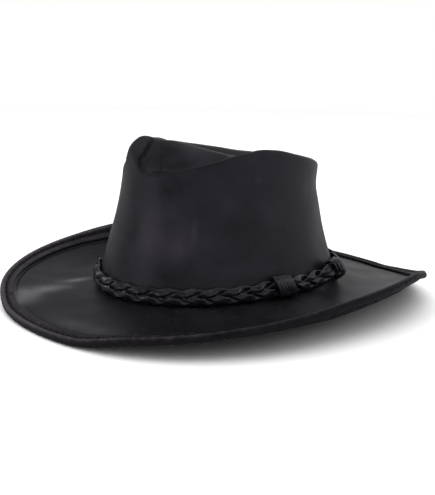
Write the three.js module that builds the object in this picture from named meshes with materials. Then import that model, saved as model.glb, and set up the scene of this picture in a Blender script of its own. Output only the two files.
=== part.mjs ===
// A black leather bush hat: a pinched and dented crown, a wide brim with a bound edge that curls up
// at the sides, and a plaited band of three laces held by two wound keepers. It rests on its brim.
// Millimetres. +X is the wearer's left, -Y the front and +Z up. The origin is on the floor below the
// middle of the brim. Angles are in degrees, from the front round towards the wearer's left.

import * as THREE from 'three';

// Crown
const HEAD_HALF_WIDTH = 87; // of the crown's outside at its foot
const HEAD_HALF_LENGTH = 104;
const HEAD_SETBACK = 6.3; // of the crown's middle behind the brim's
const FOOT_HEIGHT = 16.9; // of the crown's foot above the floor
const FOOT_SADDLE = 1.6; // rise of the foot at the sides, and its fall at the front and back
const FOOT_TILT = 0.8; // rise of the foot at the back, and its fall at the front
const CROWN_HEIGHT = 118.6;
const CROWN_LEATHER = 2;
const RIM_ROUNDING = 6;
const TOP_SHARE = 0.8; // the rim's radius over the foot's
const NOSE_SHARE = 0.025; // added to it at the nose
const NOSE_TURN = 6; // degrees by which the nose is pushed to the wearer's right

// Brim
const BRIM_HALF_WIDTH = 153.6;
const BRIM_HALF_LENGTH = 172;
const BRIM_LEATHER = 2.4;
const SIDE_LIFT = 30.1; // rise of the edge at its highest
const COLLAR_HEIGHT = 12;
const BINDING_WIDTH = 11;
const BINDING_LEATHER = 1.4;
const STITCH_VALLEY = 0.6; // depth of the stitched line along the binding

// Plaited band
const PLAIT_REPEATS = 11;
const LACE_WIDTH = 5;
const LACE_THICKNESS = 1.6;
const PLAIT_SWING = 3.8; // of a lace to each side of the plait's middle line
const PLAIT_DEPTH = 1.7; // of a lace in front of the middle line and behind it
const LACE_BANK = 0.68; // radians by which a lace tilts where it crosses the middle line
const LACE_LEAN = 0.15; // added to it on the way up, and taken off on the way down
const KEEPER_LENGTH = 17;
const KEEPER_LEATHER = 1.1;
const KEEPER_TURNS = 5;
const KEEPER_RIDGE = 0.5; // rise of each turn
const KEEPER_SLANT = 5; // of a turn from the band's upper edge to its lower edge
const KEEPER_RAMP = 14; // length over which the plait stands off the crown to enter a keeper

const GAP = 0.3; // between neighbouring pieces
const COLUMNS = 50; // round the head

// Heights of the crown's top as shares of CROWN_HEIGHT, on lines at RADIAL_PLACES from the rim
const TOP_SHAPE = [
  { angle: 0, rim: 0.93, scoop: 0.985, ridge: 0.969, bowl: 0.886 },
  { angle: 6, rim: 0.862, scoop: 0.944, ridge: 0.964, bowl: 0.886 },
  { angle: 11, rim: 0.782, scoop: 0.849, ridge: 0.956, bowl: 0.878 },
  { angle: 16, rim: 0.782, scoop: 0.8, ridge: 0.947, bowl: 0.873 },
  { angle: 24, rim: 0.803, scoop: 0.791, ridge: 0.936, bowl: 0.866 },
  { angle: 36, rim: 0.845, scoop: 0.816, ridge: 0.919, bowl: 0.853 },
  { angle: 48, rim: 0.882, scoop: 0.853, ridge: 0.902, bowl: 0.836 },
  { angle: 62, rim: 0.928, scoop: 0.899, ridge: 0.882, bowl: 0.82 },
  { angle: 75, rim: 0.94, scoop: 0.924, ridge: 0.878, bowl: 0.807 },
  { angle: 88, rim: 0.928, scoop: 0.915, ridge: 0.863, bowl: 0.795 },
  { angle: 106, rim: 0.886, scoop: 0.878, ridge: 0.828, bowl: 0.77 },
  { angle: 124, rim: 0.84, scoop: 0.836, ridge: 0.795, bowl: 0.736 },
  { angle: 144, rim: 0.787, scoop: 0.791, ridge: 0.762, bowl: 0.712 },
  { angle: 180, rim: 0.745, scoop: 0.754, ridge: 0.736, bowl: 0.696 },
];
const TOP_CENTRE = 0.77;
const RADIAL_PLACES = { rim: 0, scoop: 0.12, ridge: 0.27, bowl: 0.6, centre: 1 };

// How much lower the top lies on the wearer's right, as shares of CROWN_HEIGHT
const RIGHT_SAG = [
  { angle: 0, sag: 0 },
  { angle: 12, sag: 0 },
  { angle: 35, sag: 0.042 },
  { angle: 60, sag: 0.066 },
  { angle: 90, sag: 0.066 },
  { angle: 130, sag: 0.037 },
  { angle: 180, sag: 0 },
];
const SAG_SHARES = { rim: 1, scoop: 1, ridge: 0.9, bowl: 0.4 };

// The brim's edge: its lift as a share of SIDE_LIFT, and its slope in degrees, up towards the outside
const EDGE_SHAPE = [
  { angle: 0, lift: 0, slope: -7 },
  { angle: 14.5, lift: 0.028, slope: -8 },
  { angle: 29, lift: 0.275, slope: 0 },
  { angle: 43, lift: 0.435, slope: 11 },
  { angle: 57, lift: 0.585, slope: 21 },
  { angle: 73, lift: 0.735, slope: 31 },
  { angle: 90, lift: 0.892, slope: 43 },
  { angle: 119, lift: 1, slope: 41 },
  { angle: 137, lift: 0.657, slope: 23 },
  { angle: 150, lift: 0.3, slope: 10 },
  { angle: 161, lift: 0.09, slope: 0 },
  { angle: 169, lift: 0, slope: -5 },
  { angle: 180, lift: 0, slope: -5 },
];
const BRIM_FALL = -0.14; // slope of the brim where it leaves the crown
const CORNER_POWERS = { front: 2.235, back: 2.395 }; // of the brim's outline, where 2 is an ellipse

// The keepers: how far each one's middle bulges, and how far it stands off the crown, as shares of its
// leather
const KEEPERS = [
  { name: 'keeper_side', angle: 82, bulge: 0.3, standOff: 0 },
  { name: 'keeper_back', angle: 125, bulge: 3, standOff: 2.6 },
];

const radians = THREE.MathUtils.degToRad;
const signed = angle => THREE.MathUtils.euclideanModulo(angle + 180, 360) - 180;
const bell = (value, width) => Math.exp(-((value / width) ** 2));

// Cubic from y0 to y1 over a step h, with slopes m0 and m1, at share u of the step.
function cubic(y0, m0, y1, m1, h, u) {
  const v = 1 - u;
  return v * v * (1 + 2 * u) * y0 + u * v * v * h * m0 + u * u * (3 - 2 * u) * y1 - u * u * v * h * m1;
}

// Smooth function of the angle, alike on both sides, through one column of a table of angles from 0 to
// 180. The slope at a row is the harmonic mean of those beside it, or level at a peak.
function around(table, column) {
  const first = table[1];
  const last = table.at(-2);
  const knots = [{ ...first, angle: -first.angle }, ...table, { ...last, angle: 360 - last.angle }];
  const chord = i => (knots[i + 1][column] - knots[i][column]) / (knots[i + 1].angle - knots[i].angle);
  const slope = i => (chord(i - 1) * chord(i) > 0 ? 2 / (1 / chord(i - 1) + 1 / chord(i)) : 0);
  return angle => {
    const a = Math.abs(signed(angle));
    const i = Math.max(1, knots.findLastIndex((knot, k) => knot.angle <= a && k < knots.length - 2));
    const step = knots[i + 1].angle - knots[i].angle;
    const share = (a - knots[i].angle) / step;
    return cubic(knots[i][column], slope(i), knots[i + 1][column], slope(i + 1), step, share);
  };
}

const topLines = ['rim', 'scoop', 'ridge', 'bowl'];
const topShares = Object.fromEntries(topLines.map(line => [line, around(TOP_SHAPE, line)]));
const rightSag = around(RIGHT_SAG, 'sag');
const edgeLift = around(EDGE_SHAPE, 'lift');
const edgeSlope = around(EDGE_SHAPE, 'slope');

// Point at a distance r from the head's axis and a height z.
function headPoint(angle, r, z) {
  const a = radians(angle);
  return new THREE.Vector3(r * Math.sin(a), HEAD_SETBACK - r * Math.cos(a), z);
}

function footHeight(angle) {
  const a = radians(angle);
  return FOOT_HEIGHT - FOOT_TILT * Math.cos(a) - FOOT_SADDLE * Math.cos(2 * a);
}

// Outside of the crown's wall. It leans in from the head's oval to a smaller one, slowly at first in
// front and at once behind, where it bulges a little before the rim.
function wallRadius(angle, z) {
  const a = radians(angle);
  const oval = 1 / Math.hypot(Math.sin(a) / HEAD_HALF_WIDTH, Math.cos(a) / HEAD_HALF_LENGTH);
  const bottom = FOOT_HEIGHT - FOOT_SADDLE - FOOT_TILT;
  const top = FOOT_HEIGHT + CROWN_HEIGHT * (0.791 + 0.037 * Math.cos(a));
  const s = Math.max(0, (z - bottom) / (top - bottom));
  const front = Math.sin((Math.PI / 2) * Math.min(s, 1)) ** 1.45;
  const back = 1 - Math.max(0, 1 - s) ** 2.2 + 0.08 * bell(Math.min(s, 1) - 0.82, 0.13);
  const lean = THREE.MathUtils.lerp(front, back, (1 - Math.cos(a)) / 2);
  const topShare = TOP_SHARE + NOSE_SHARE * bell(signed(angle), 20);
  return oval * (1 - (1 - topShare) * lean);
}

// Inside of the wall, square to its slope.
function wallInside(angle, z, depth = CROWN_LEATHER) {
  const slope = wallRadius(angle, z + 0.5) - wallRadius(angle, z - 0.5);
  return wallRadius(angle, z) - depth * Math.hypot(1, slope);
}

// Heights of the top's lines at one angle, from the rim to the centre.
function topHeights(angle) {
  const turned = angle + NOSE_TURN * bell(signed(angle), 40);
  const sag = Math.sin(radians(angle)) < 0 ? rightSag(angle) : 0;
  const shares = topLines.map(line => topShares[line](turned) - sag * SAG_SHARES[line]);
  return [...shares, TOP_CENTRE].map(share => FOOT_HEIGHT + CROWN_HEIGHT * share);
}

// Height of the top at a share t of the way from the rim to the centre.
function topHeight(heights, t) {
  const places = Object.values(RADIAL_PLACES);
  const chord = i => (heights[i + 1] - heights[i]) / (places[i + 1] - places[i]);
  const slope = i => (i === 0 ? chord(0) : i === places.length - 1 ? 0 : (chord(i - 1) + chord(i)) / 2);
  const i = Math.min(places.length - 2, places.findLastIndex(place => place <= t));
  const step = places[i + 1] - places[i];
  return cubic(heights[i], slope(i), heights[i + 1], slope(i + 1), step, (t - places[i]) / step);
}

// Columns round the head, closer together at the nose.
function columnAngles() {
  const turns = Array.from({ length: COLUMNS }, (_, i) => (2 * Math.PI * i) / COLUMNS);
  return turns.map(turn => THREE.MathUtils.radToDeg(turn - 0.45 * Math.sin(turn)));
}

// Closed body from rows of points, each row a ring. The rows close on themselves, or end at two poles.
function ringBody(rows, poles) {
  const count = rows[0].length;
  const points = [...rows.flat(), ...(poles ?? [])];
  const faces = [];
  const last = poles ? rows.length - 1 : rows.length;
  for (let i = 0; i < last; i++) {
    const next = (i + 1) % rows.length;
    for (let j = 0; j < count; j++) {
      const k = (j + 1) % count;
      faces.push([i * count + j, i * count + k, next * count + k]);
      faces.push([i * count + j, next * count + k, next * count + j]);
    }
  }
  for (let j = 0; poles && j < count; j++) {
    const k = (j + 1) % count;
    faces.push([rows.length * count, k, j]);
    faces.push([rows.length * count + 1, (rows.length - 1) * count + j, (rows.length - 1) * count + k]);
  }
  const volume = faces.reduce((sum, [a, b, c]) => sum + points[a].dot(points[b].clone().cross(points[c])), 0);
  const geometry = new THREE.BufferGeometry().setFromPoints(points);
  geometry.setIndex(volume > 0 ? faces.flat() : faces.flatMap(([a, b, c]) => [a, c, b]));
  geometry.computeVertexNormals();
  return geometry;
}

// Turns columns of points into rows.
const transposed = columns => columns[0].map((_, i) => columns.map(column => column[i]));

// Outside of the crown in one column: up the wall, over the rounded rim and in across the top.
function crownColumn(angle) {
  const heights = topHeights(angle);
  const rim = heights[0];
  const rimRadius = wallRadius(angle, rim);
  const foot = footHeight(angle);
  const collarTop = foot + COLLAR_HEIGHT;
  const wallTop = rim - RIM_ROUNDING;
  const wallHeights = [0.25, 0.5, 0.75, 1].map(share => collarTop + (wallTop - collarTop) * share);
  const wall = [foot, collarTop, ...wallHeights].map(z => headPoint(angle, wallRadius(angle, z), z));
  const start = RIM_ROUNDING / rimRadius;
  const places = [start, 0.12, 0.19, 0.27, 0.38, 0.5, 0.65, 0.82];
  const top = places.map(t => headPoint(angle, rimRadius * (1 - t), topHeight(heights, t)));
  const rounding = new THREE.QuadraticBezierCurve3(wall.at(-1), headPoint(angle, rimRadius, rim), top[0]);
  return [...wall, rounding.getPoint(1 / 3), rounding.getPoint(2 / 3), ...top];
}

// The crown: its outside, and an inside one leather's thickness away.
function crown() {
  const angles = columnAngles();
  const outside = transposed(angles.map(crownColumn));
  const apex = headPoint(0, 0, FOOT_HEIGHT + CROWN_HEIGHT * TOP_CENTRE);
  const wallRows = 6;
  const inside = outside.map((row, i) =>
    row.map((point, j) => {
      if (i < wallRows) {
        return headPoint(angles[j], wallInside(angles[j], point.z), point.z);
      }
      const along = row[(j + 1) % COLUMNS].clone().sub(row.at(j - 1));
      const across = (outside[i + 1]?.[j] ?? apex).clone().sub(outside[i - 1][j]);
      return point.clone().addScaledVector(along.cross(across).normalize(), -CROWN_LEATHER);
    }),
  );
  const innerApex = apex.clone().setZ(apex.z - CROWN_LEATHER);
  return ringBody([...outside.toReversed(), ...inside], [apex, innerApex]);
}

// Edge of the brim in plan: two half superellipses that meet at the sides.
function outlinePoint(angle) {
  const a = radians(angle);
  const power = Math.cos(a) > 0 ? CORNER_POWERS.front : CORNER_POWERS.back;
  const across = Math.abs(Math.sin(a) / BRIM_HALF_WIDTH) ** power;
  const along = Math.abs(Math.cos(a) / BRIM_HALF_LENGTH) ** power;
  const r = (across + along) ** (-1 / power);
  return new THREE.Vector3(r * Math.sin(a), -r * Math.cos(a), 0);
}

// One column of the brim's leather: a function that gives the point at an inset from the edge and an
// offset from the middle of the leather, and the inset at the crown.
function brimColumn(angle) {
  const foot = footHeight(angle);
  const ring = headPoint(angle, wallRadius(angle, foot), 0);
  const edge = outlinePoint(angle);
  const run = edge.distanceTo(ring);
  const outward = edge.clone().sub(ring).normalize();
  const start = foot - GAP - BRIM_LEATHER / 2;
  const edgeHeight = BRIM_LEATHER / 2 + GAP + BINDING_LEATHER + SIDE_LIFT * edgeLift(angle);
  const slope = Math.tan(radians(edgeSlope(angle)));
  const hemHeight = edgeHeight - slope * BINDING_WIDTH;
  const reach = run - BINDING_WIDTH;
  const height = inset => {
    if (inset < BINDING_WIDTH) {
      return edgeHeight - slope * inset;
    }
    return cubic(start, BRIM_FALL, hemHeight, slope, reach, (run - inset) / reach);
  };
  const at = (inset, offset) => {
    const fall = height(inset - 0.25) - height(inset + 0.25);
    const length = Math.hypot(fall, 0.5);
    const point = edge.clone().addScaledVector(outward, -inset - (offset * fall) / length);
    return point.setZ(height(inset) + (offset * 0.5) / length);
  };
  return { at, run, foot };
}

// The brim: one leather sheet, turned up inside the crown's foot as a collar.
function brim() {
  const half = BRIM_LEATHER / 2;
  const column = angle => {
    const { at, run, foot } = brimColumn(angle);
    const reach = run - BINDING_WIDTH;
    const insets = [1, 0.75, 0.45, 0.18, 0].map(share => BINDING_WIDTH + share * reach);
    insets.push(BINDING_LEATHER + GAP);
    const outer = z => wallInside(angle, z, CROWN_LEATHER + GAP);
    const inner = z => wallInside(angle, z, CROWN_LEATHER + GAP + BRIM_LEATHER);
    const collarTop = foot + COLLAR_HEIGHT;
    const under = foot - GAP - BRIM_LEATHER;
    return [
      headPoint(angle, inner(collarTop), collarTop),
      headPoint(angle, outer(collarTop), collarTop),
      headPoint(angle, outer(foot), foot - GAP),
      ...insets.map(inset => at(inset, half)),
      ...insets.toReversed().map(inset => at(inset, -half)),
      headPoint(angle, inner(foot) + BRIM_LEATHER, under),
      headPoint(angle, inner(foot) + BRIM_LEATHER * 0.3, under + BRIM_LEATHER * 0.3),
      headPoint(angle, inner(foot), under + BRIM_LEATHER),
    ];
  };
  return ringBody(transposed(columnAngles().map(column)));
}

// The binding: a strip folded round the brim's edge, with a stitched valley between two rolls. Under
// the front and the back it is pressed flat on the floor.
function brimBinding() {
  const inside = BRIM_LEATHER / 2 + GAP;
  const outside = inside + BINDING_LEATHER;
  const valley = outside - STITCH_VALLEY;
  const section = [
    { inset: BINDING_WIDTH, offset: -outside },
    { inset: 0.55 * BINDING_WIDTH, offset: -outside },
    { inset: 0.2 * BINDING_WIDTH, offset: -outside },
    { inset: 0.05 * BINDING_WIDTH, offset: -0.6 * outside },
    { inset: 0, offset: 0 },
    { inset: 0.05 * BINDING_WIDTH, offset: 0.6 * outside },
    { inset: 0.2 * BINDING_WIDTH, offset: outside },
    { inset: 0.5 * BINDING_WIDTH, offset: valley },
    { inset: 0.75 * BINDING_WIDTH, offset: outside },
    { inset: BINDING_WIDTH, offset: valley },
    { inset: BINDING_WIDTH, offset: inside },
    { inset: BINDING_LEATHER, offset: inside },
    { inset: BINDING_LEATHER, offset: -inside },
    { inset: BINDING_WIDTH, offset: -inside },
  ];
  const pressed = 0.57 * BINDING_LEATHER;
  const column = angle => {
    const { at } = brimColumn(angle);
    return section.map(({ inset, offset }) => {
      const point = at(inset, offset);
      return point.z < pressed ? point.setZ(0) : point;
    });
  };
  return ringBody(transposed(columnAngles().map(column)));
}

// Height and depth of the plait from its middle line.
const plaitHalfHeight = PLAIT_SWING + LACE_WIDTH / 2;
const plaitHalfDepth = PLAIT_DEPTH + LACE_THICKNESS / 2 + GAP;

// Point of the crown's wall at a rise above its foot.
function bandPoint(angle, rise) {
  const z = footHeight(angle) + rise;
  return headPoint(angle, wallRadius(angle, z), z);
}

// Angles at even steps along the band, and its whole length.
function bandRuler() {
  const steps = 720;
  const angles = Array.from({ length: steps + 1 }, (_, i) => (360 * i) / steps);
  const points = angles.map(angle => bandPoint(angle, plaitHalfHeight));
  const lengths = [0];
  for (let i = 1; i <= steps; i++) {
    lengths.push(lengths[i - 1] + points[i].distanceTo(points[i - 1]));
  }
  const total = lengths[steps];
  const angleAt = s => {
    const place = THREE.MathUtils.euclideanModulo(s, total);
    const i = Math.min(steps - 1, lengths.findLastIndex(length => length <= place));
    return (360 / steps) * (i + (place - lengths[i]) / (lengths[i + 1] - lengths[i]));
  };
  const lengthAt = angle => lengths[Math.round((angle * steps) / 360)];
  return { total, angleAt, lengthAt };
}
const ruler = bandRuler();

// How far the keepers push the plait up off the brim and out from the crown at a length s, to make room
// for their own leather.
function keeperPush(s) {
  const shares = KEEPERS.map(({ angle }) => {
    const away = Math.abs(s - ruler.lengthAt(angle)) - KEEPER_LENGTH / 2;
    return THREE.MathUtils.smoothstep(KEEPER_RAMP - away, 0, KEEPER_RAMP);
  });
  const outs = KEEPERS.map(({ standOff }, i) => shares[i] * (KEEPER_LEATHER * (1 + standOff) + GAP));
  return { up: Math.max(...shares) * (KEEPER_LEATHER + GAP), out: Math.max(...outs) };
}

// Point of the band at a length s, a height above its middle line and a depth in front of it.
function bandPlace(s, height, depth) {
  const wrapped = THREE.MathUtils.euclideanModulo(s, ruler.total);
  const angle = ruler.angleAt(wrapped);
  const push = keeperPush(wrapped);
  const rise = plaitHalfHeight + 2 * GAP + push.up;
  const middle = bandPoint(angle, rise);
  const along = bandPoint(angle + 0.5, rise).sub(bandPoint(angle - 0.5, rise)).normalize();
  const upward = bandPoint(angle, rise + 0.5).sub(bandPoint(angle, rise - 0.5));
  const outward = along.clone().cross(upward).normalize();
  const up = outward.clone().cross(along);
  const standing = plaitHalfDepth + GAP + push.out + depth;
  return middle.addScaledVector(up, height).addScaledVector(outward, standing);
}

// One lace of the plait. It swings from edge to edge, passes over one lace and under the next, and banks
// as it crosses the middle.
function braidLace(index) {
  const stepsPerRepeat = 12;
  const steps = PLAIT_REPEATS * stepsPerRepeat;
  const pace = ruler.total / steps;
  const section = [
    [-0.5, 0],
    [-0.25, 0.5],
    [0.25, 0.5],
    [0.5, 0],
    [0.25, -0.5],
    [-0.25, -0.5],
  ];
  const rings = Array.from({ length: steps }, (_, i) => {
    const phase = (2 * Math.PI * i) / stepsPerRepeat + (2 * Math.PI * index) / 3;
    const turnsPerLength = (2 * Math.PI) / (stepsPerRepeat * pace);
    const tilt = LACE_BANK * Math.cos(3 * phase) + LACE_LEAN * Math.cos(phase);
    const slope = PLAIT_SWING * Math.cos(phase) * turnsPerLength;
    const climb = 2 * PLAIT_DEPTH * Math.cos(2 * phase) * turnsPerLength;
    const tangent = new THREE.Vector3(1, slope, climb).normalize();
    const width = new THREE.Vector3(-slope, 1, 0).setLength(Math.cos(tilt)).setZ(Math.sin(tilt));
    const thickness = tangent.cross(width).normalize();
    const swing = PLAIT_SWING * Math.sin(phase);
    const centre = new THREE.Vector3(i * pace, swing, PLAIT_DEPTH * Math.sin(2 * phase));
    return section.map(([across, through]) => {
      const point = centre.clone().addScaledVector(width, across * LACE_WIDTH);
      return bandPlace(...point.addScaledVector(thickness, through * LACE_THICKNESS));
    });
  });
  return ringBody(rings);
}

// A keeper: lace wound round the plait in slanted turns, as one sleeve with a ridge for each turn. Its
// face bulges outwards in the middle, and it is flat where it lies on the crown and the brim.
function keeper({ angle, bulge }) {
  const middle = ruler.lengthAt(angle);
  const sides = 12;
  const height = plaitHalfHeight + 2 * GAP;
  const depth = plaitHalfDepth + GAP;
  const rowsPerTurn = 2;
  const steps = KEEPER_TURNS * rowsPerTurn;
  const outer = Array.from({ length: steps + 1 }, (_, i) => ({
    place: i / steps - 0.5,
    wall: KEEPER_LEATHER + (i % rowsPerTurn ? KEEPER_RIDGE : 0),
    swell: bulge * KEEPER_LEATHER * (1 - ((2 * i) / steps - 1) ** 2),
  }));
  const inner = [0.5, 0, -0.5].map(place => ({ place, wall: 0, swell: 0 }));
  const rings = [...outer, ...inner].map(({ place, wall, swell }) =>
    Array.from({ length: sides }, (_, j) => {
      const turn = (2 * Math.PI * (j + 0.5)) / sides;
      const up = Math.sign(Math.sin(turn)) * Math.abs(Math.sin(turn)) ** 0.7;
      const out = Math.sign(Math.cos(turn)) * Math.abs(Math.cos(turn)) ** 0.7;
      const s = middle + place * KEEPER_LENGTH - KEEPER_SLANT * up * 0.5;
      const flat = Math.min(wall, KEEPER_LEATHER);
      const over = up < 0 ? flat : wall;
      const before = out < 0 ? flat : wall + swell;
      return bandPlace(s, up * (height + over), out * (depth + before));
    }),
  );
  return ringBody(rings);
}

const materials = {
  crown: new THREE.MeshStandardMaterial({ color: 0x1c191f, roughness: 0.42, metalness: 0 }),
  brim: new THREE.MeshStandardMaterial({ color: 0x1e1b21, roughness: 0.45, metalness: 0 }),
  binding: new THREE.MeshStandardMaterial({ color: 0x252028, roughness: 0.6, metalness: 0 }),
  lace: new THREE.MeshStandardMaterial({ color: 0x19161b, roughness: 0.4, metalness: 0 }),
};

function named(name, geometry, material) {
  const mesh = new THREE.Mesh(geometry, material);
  mesh.name = name;
  return mesh;
}

const hat = new THREE.Group();
hat.add(named('crown', crown(), materials.crown));
hat.add(named('brim', brim(), materials.brim));
hat.add(named('brim_binding', brimBinding(), materials.binding));
for (const index of [1, 2, 3]) {
  hat.add(named(`braid_lace_${index}`, braidLace(index), materials.lace.clone()));
}
for (const place of KEEPERS) {
  hat.add(named(place.name, keeper(place), materials.lace.clone()));
}

export default hat;
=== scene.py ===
import bpy
import numpy as np
from mathutils import Matrix, Vector


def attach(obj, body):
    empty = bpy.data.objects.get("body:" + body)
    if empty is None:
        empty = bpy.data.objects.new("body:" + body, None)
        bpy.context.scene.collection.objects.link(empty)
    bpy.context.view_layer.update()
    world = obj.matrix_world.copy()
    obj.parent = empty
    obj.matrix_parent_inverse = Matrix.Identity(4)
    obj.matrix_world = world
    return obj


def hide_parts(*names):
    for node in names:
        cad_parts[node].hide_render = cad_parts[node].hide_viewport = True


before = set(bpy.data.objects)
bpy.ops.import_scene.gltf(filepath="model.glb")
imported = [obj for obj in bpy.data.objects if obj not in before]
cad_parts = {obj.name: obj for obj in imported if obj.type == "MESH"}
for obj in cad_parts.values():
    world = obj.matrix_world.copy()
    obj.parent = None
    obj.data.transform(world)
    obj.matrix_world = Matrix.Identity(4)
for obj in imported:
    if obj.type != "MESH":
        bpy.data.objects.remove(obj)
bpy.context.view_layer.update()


# Camera. It looks at the wearer's left front from a little above the brim, level but for a slight
# roll, and close enough for the near side of the brim to look larger than the far side.
CAMERA_AZIMUTH = np.radians(50)
CAMERA_ELEVATION = np.radians(17.1)
CAMERA_ROLL = np.radians(1.1)
CAMERA_DISTANCE = 0.85
CAMERA_LENS = 74.66
SENSOR_HEIGHT = 36
AIM_RIGHT = 0.0029
AIM_UP = 0.0488
CAMERA_FOOT = Vector((0, -0.001, -0.01135))

backward = Vector((
    np.sin(CAMERA_AZIMUTH) * np.cos(CAMERA_ELEVATION),
    -np.cos(CAMERA_AZIMUTH) * np.cos(CAMERA_ELEVATION),
    np.sin(CAMERA_ELEVATION),
))
rightward = Vector((np.cos(CAMERA_AZIMUTH), np.sin(CAMERA_AZIMUTH), 0))
upward = backward.cross(rightward)
place = CAMERA_FOOT + backward * CAMERA_DISTANCE
aim = CAMERA_FOOT + rightward * AIM_RIGHT + upward * AIM_UP
camera_data = bpy.data.cameras.new("camera")
camera_data.sensor_fit = "VERTICAL"
camera_data.sensor_height = SENSOR_HEIGHT
camera_data.lens = CAMERA_LENS
camera = bpy.data.objects.new("camera", camera_data)
camera.location = place
camera.rotation_euler = (
    (aim - place).to_track_quat("-Z", "Y").to_matrix() @ Matrix.Rotation(CAMERA_ROLL, 3, "Z")
).to_euler()
bpy.context.scene.collection.objects.link(camera)
bpy.context.scene.camera = camera


# Studio. A white floor fades into a white backdrop. What the hat mirrors is darker behind the camera,
# overhead and at the left, so that reflections draw the black leather, and the soft fill that whitens
# the floor and keeps the shadow tight comes mostly from above.
FLOOR_RADIUS = 1.5
FLOOR_FADE = 0.8
FLOOR_CORNERS = 96
FLOOR_COLOUR = (0.9, 0.9, 0.9, 1)
FLOOR_FOR_HAT = (0.34, 0.34, 0.35, 1)
FLOOR_ROUGHNESS = 0.9
FLOOR_MIRROR = 0.1
BACKDROP_LIGHT = 0.56
ROOM_LIGHT = 0.36
OVERHEAD_SHARE = 0.15
LEFT_SHARE = 0.3
# Strength of the fill from a level direction, and how much of it is added towards each axis
FILL_LIGHT = 0.1
FILL_TOWARDS = (-0.25, -0.3, 1.9)
# Starts and ends, as cosines, of the way from the room to the backdrop, overhead and to the left
BACKDROP_SPAN = (0.1, 0.95)
OVERHEAD_SPAN = (0.35, 0.85)
LEFT_SPAN = (-0.05, 0.4)
LIGHTS = [
    dict(name="top", place=(0.0, 0.1, 1.9), size=2.2, power=5),
    dict(name="left", place=(-1.5, -0.5, 0.7), size=0.7, power=1.7),
    dict(name="front", place=(-0.28, -1.57, 0.3), size=0.5, power=1.1),
    dict(name="right", place=(1.2, 1.1, 0.8), size=0.6, power=0.8),
]


def add_node(tree, kind, options, inputs):
    """A shader node of a kind, with its options set. Each input, by name or number, gets the value that
    is given for it, or a link where another node's output is given."""
    node = tree.nodes.new("ShaderNode" + kind)
    for option, value in options.items():
        setattr(node, option, value)
    for name, given in inputs.items():
        if isinstance(given, bpy.types.NodeSocket):
            tree.links.new(given, node.inputs[name])
        else:
            node.inputs[name].default_value = given
    return node


def ramp(tree, value, span, results, interpolation="LINEAR"):
    """A value brought from a span, of its start and end, to results at the start and at the end."""
    return add_node(tree, "MapRange", dict(interpolation_type=interpolation), {
        "Value": value, "From Min": span[0], "From Max": span[1], "To Min": results[0], "To Max": results[1],
    }).outputs["Result"]


floor_mesh = bpy.data.meshes.new("floor")
rim = 2 * np.pi * np.arange(FLOOR_CORNERS) / FLOOR_CORNERS
rim_points = np.column_stack([FLOOR_RADIUS * np.cos(rim), FLOOR_RADIUS * np.sin(rim), 0 * rim])
floor_mesh.from_pydata(rim_points.tolist(), [], [list(range(FLOOR_CORNERS))])
floor = bpy.data.objects.new("floor", floor_mesh)
bpy.context.scene.collection.objects.link(floor)
floor_finish = bpy.data.materials.new("floor")
floor_finish.use_nodes = True
floor_tree = floor_finish.node_tree
floor_shader = floor_tree.nodes["Principled BSDF"]
floor_shader.inputs["Roughness"].default_value = FLOOR_ROUGHNESS
floor_shader.inputs["Specular IOR Level"].default_value = FLOOR_MIRROR
floor_seen = add_node(floor_tree, "LightPath", {}, {})
floor_colour = add_node(floor_tree, "Mix", dict(data_type="RGBA"), {
    "Factor": floor_seen.outputs["Is Camera Ray"], "A": FLOOR_FOR_HAT, "B": FLOOR_COLOUR})
floor_place = add_node(floor_tree, "TexCoord", {}, {})
floor_distance = add_node(floor_tree, "VectorMath", dict(operation="LENGTH"), {
    0: floor_place.outputs["Object"]})
floor_edge = ramp(floor_tree, floor_distance.outputs["Value"], (FLOOR_RADIUS - FLOOR_FADE, FLOOR_RADIUS),
                  (1, 0), "SMOOTHSTEP")
floor_tree.links.new(floor_colour.outputs["Result"], floor_shader.inputs["Base Color"])
floor_tree.links.new(floor_edge, floor_shader.inputs["Alpha"])
floor_mesh.materials.append(floor_finish)

for light in LIGHTS:
    lamp_data = bpy.data.lights.new(light["name"], "AREA")
    lamp_data.size = light["size"]
    lamp_data.energy = light["power"]
    lamp = bpy.data.objects.new(light["name"], lamp_data)
    lamp.location = light["place"]
    lamp.rotation_euler = (-Vector(light["place"])).to_track_quat("-Z", "Y").to_euler()
    bpy.context.scene.collection.objects.link(lamp)

bpy.context.scene.view_settings.view_transform = "Standard"
world = bpy.data.worlds.new("studio")
bpy.context.scene.world = world
world.use_nodes = True
sky = world.node_tree
towards = add_node(sky, "TexCoord", {}, {}).outputs["Generated"]
seen = add_node(sky, "LightPath", {}, {})


def sky_towards(direction):
    """How far a ray from the hat goes towards a direction: the dot product of the two."""
    product = add_node(sky, "VectorMath", dict(operation="DOT_PRODUCT"), {0: towards, 1: direction})
    return product.outputs["Value"]


def sky_math(operation, *inputs):
    """The result of one step of arithmetic on the sky's values."""
    return add_node(sky, "Math", dict(operation=operation), dict(enumerate(inputs))).outputs["Value"]


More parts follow.
